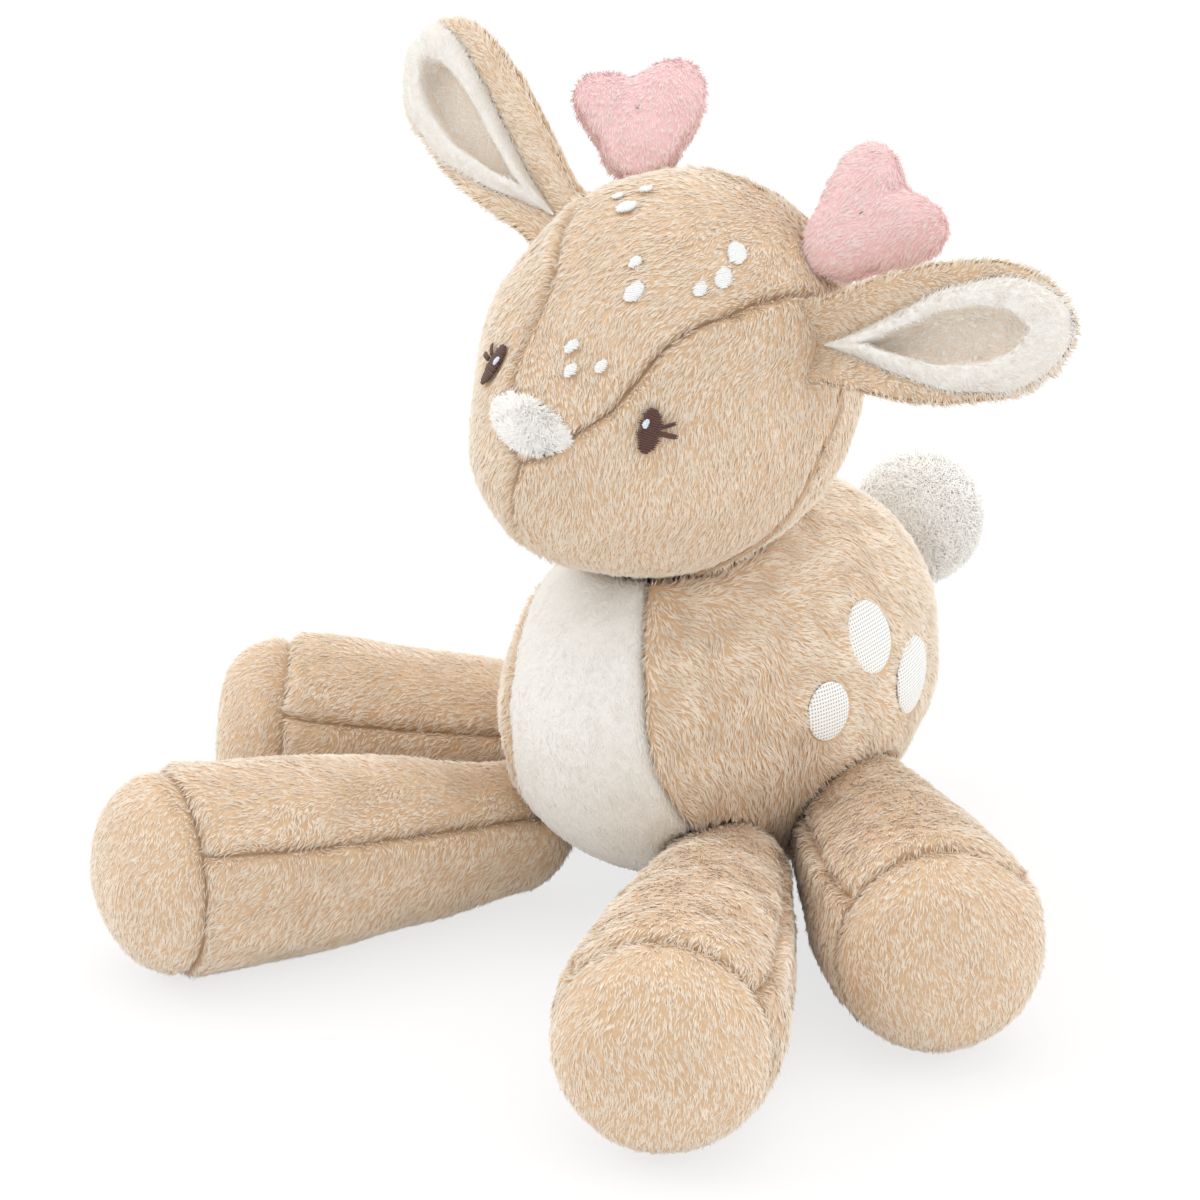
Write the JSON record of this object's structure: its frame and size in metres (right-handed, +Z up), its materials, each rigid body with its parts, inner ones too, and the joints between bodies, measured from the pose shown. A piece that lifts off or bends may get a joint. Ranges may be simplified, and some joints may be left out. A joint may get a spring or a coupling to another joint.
{
  "type": "plush fawn",
  "caption": "Seated soft fawn with floppy swinging legs, a turning head, leaf ears, two-lobed antlers, a pompom tail and stitched spots.",
  "frame": {"origin": "on the floor, in the middle of the flat under the belly", "axes": "+Z up, the fawn's nose towards -Y, its left side towards +X"},
  "size_m": [0.2857, 0.3023, 0.2475],
  "materials": {
    "tan_plush": "short combed tan plush, matt",
    "white_plush": "short smooth white plush, matt",
    "pink_plush": "short combed pale pink plush, matt",
    "white_long_pile": "long white pile, matt",
    "white_knit": "white knitted mesh cloth",
    "dot_thread": "white satin stitch",
    "eye_thread": "dark brown satin stitch",
    "shine_thread": "pale blue-white satin stitch",
    "stuffing": "white polyester fibre"
  },
  "bodies": {
    "body": {"chest_belly_panel": "white_plush", "body_left_side": "tan_plush", "body_right_side": "tan_plush", "body_stuffing": "stuffing", "flank_spot_left_upper": "white_knit", "flank_spot_left_rear": "white_knit", "flank_spot_left_lower": "white_knit", "flank_spot_right_upper": "white_knit", "flank_spot_right_rear": "white_knit", "flank_spot_right_lower": "white_knit"},
    "head": {"forehead_gusset": "tan_plush", "head_left_side": "tan_plush", "head_right_side": "tan_plush", "head_back_left": "tan_plush", "head_back_right": "tan_plush", "head_stuffing": "stuffing", "forehead_dot_1": "dot_thread", "forehead_dot_2": "dot_thread", "forehead_dot_3": "dot_thread", "forehead_dot_4": "dot_thread", "forehead_dot_5": "dot_thread", "forehead_dot_6": "dot_thread", "forehead_dot_7": "dot_thread", "forehead_dot_8": "dot_thread", "forehead_dot_9": "dot_thread", "forehead_dot_10": "dot_thread", "forehead_dot_11": "dot_thread", "nose_patch": "white_long_pile", "eye_left": "eye_thread", "eye_left_shine": "shine_thread", "eye_right": "eye_thread", "eye_right_shine": "shine_thread"},
    "ear_left": {"ear_left_outer": "tan_plush", "ear_left_inner": "white_plush"},
    "antler_left": {"antler_left_front": "pink_plush", "antler_left_back": "pink_plush", "antler_left_stuffing": "stuffing"},
    "ear_right": {"ear_right_outer": "tan_plush", "ear_right_inner": "white_plush"},
    "antler_right": {"antler_right_front": "pink_plush", "antler_right_back": "pink_plush", "antler_right_stuffing": "stuffing"},
    "tail": {"tail_pompom": "white_long_pile"},
    "leg_front_left": {"leg_front_left_upper": "tan_plush", "leg_front_left_lower": "tan_plush", "leg_front_left_sole": "tan_plush", "leg_front_left_stuffing": "stuffing"},
    "leg_front_right": {"leg_front_right_upper": "tan_plush", "leg_front_right_lower": "tan_plush", "leg_front_right_sole": "tan_plush", "leg_front_right_stuffing": "stuffing"},
    "leg_hind_left": {"leg_hind_left_upper": "tan_plush", "leg_hind_left_lower": "tan_plush", "leg_hind_left_sole": "tan_plush", "leg_hind_left_stuffing": "stuffing"},
    "leg_hind_right": {"leg_hind_right_upper": "tan_plush", "leg_hind_right_lower": "tan_plush", "leg_hind_right_sole": "tan_plush", "leg_hind_right_stuffing": "stuffing"}
  },
  "joints": [
    {"name": "head_turn", "type": "hinge", "parent": "body", "child": "head", "pos_m": [0, -0.0315, 0.1605], "axis": [0, 0, 1], "range_deg": [-20, 20], "stiffness_Nm_per_rad": 0.25},
    {"name": "ear_left_flap", "type": "hinge", "parent": "head", "child": "ear_left", "pos_m": [0.05121, -0.03228, 0.17828], "axis": [0.231, -0.2513, -0.9399], "range_deg": [-18, 18], "stiffness_Nm_per_rad": 0.12},
    {"name": "ear_right_flap", "type": "hinge", "parent": "head", "child": "ear_right", "pos_m": [-0.03723, -0.02625, 0.19957], "axis": [-0.6078, -0.2024, -0.7678], "range_deg": [-18, 18], "stiffness_Nm_per_rad": 0.12},
    {"name": "antler_left_lean", "type": "hinge", "parent": "head", "child": "antler_left", "pos_m": [0.04171, -0.02451, 0.19734], "axis": [0.7763, -0.1931, -0.6], "range_deg": [-12, 12], "stiffness_Nm_per_rad": 0.12},
    {"name": "antler_right_lean", "type": "hinge", "parent": "head", "child": "antler_right", "pos_m": [-0.01922, -0.02035, 0.212], "axis": [-0.8792, -0.4763, -0.0109], "range_deg": [-12, 12], "stiffness_Nm_per_rad": 0.12},
    {"name": "tail_wag", "type": "hinge", "parent": "body", "child": "tail", "pos_m": [0, 0.08371, 0.078], "axis": [0, 0, 1], "range_deg": [-5, 40], "stiffness_Nm_per_rad": 0.1},
    {"name": "leg_front_left_swing", "type": "hinge", "parent": "body", "child": "leg_front_left", "pos_m": [0.0365, -0.06, 0.024], "axis": [0, 0, 1], "range_deg": [-18, 1]},
    {"name": "leg_front_right_swing", "type": "hinge", "parent": "body", "child": "leg_front_right", "pos_m": [-0.0365, -0.06, 0.024], "axis": [0, 0, -1], "range_deg": [-30, 8]},
    {"name": "leg_hind_left_swing", "type": "hinge", "parent": "body", "child": "leg_hind_left", "pos_m": [0.04, 0.005, 0.024], "axis": [0, 0, 1], "range_deg": [0, 46]},
    {"name": "leg_hind_right_swing", "type": "hinge", "parent": "body", "child": "leg_hind_right", "pos_m": [-0.04, 0.005, 0.024], "axis": [0, 0, -1], "range_deg": [-10, 34]}
  ]
}
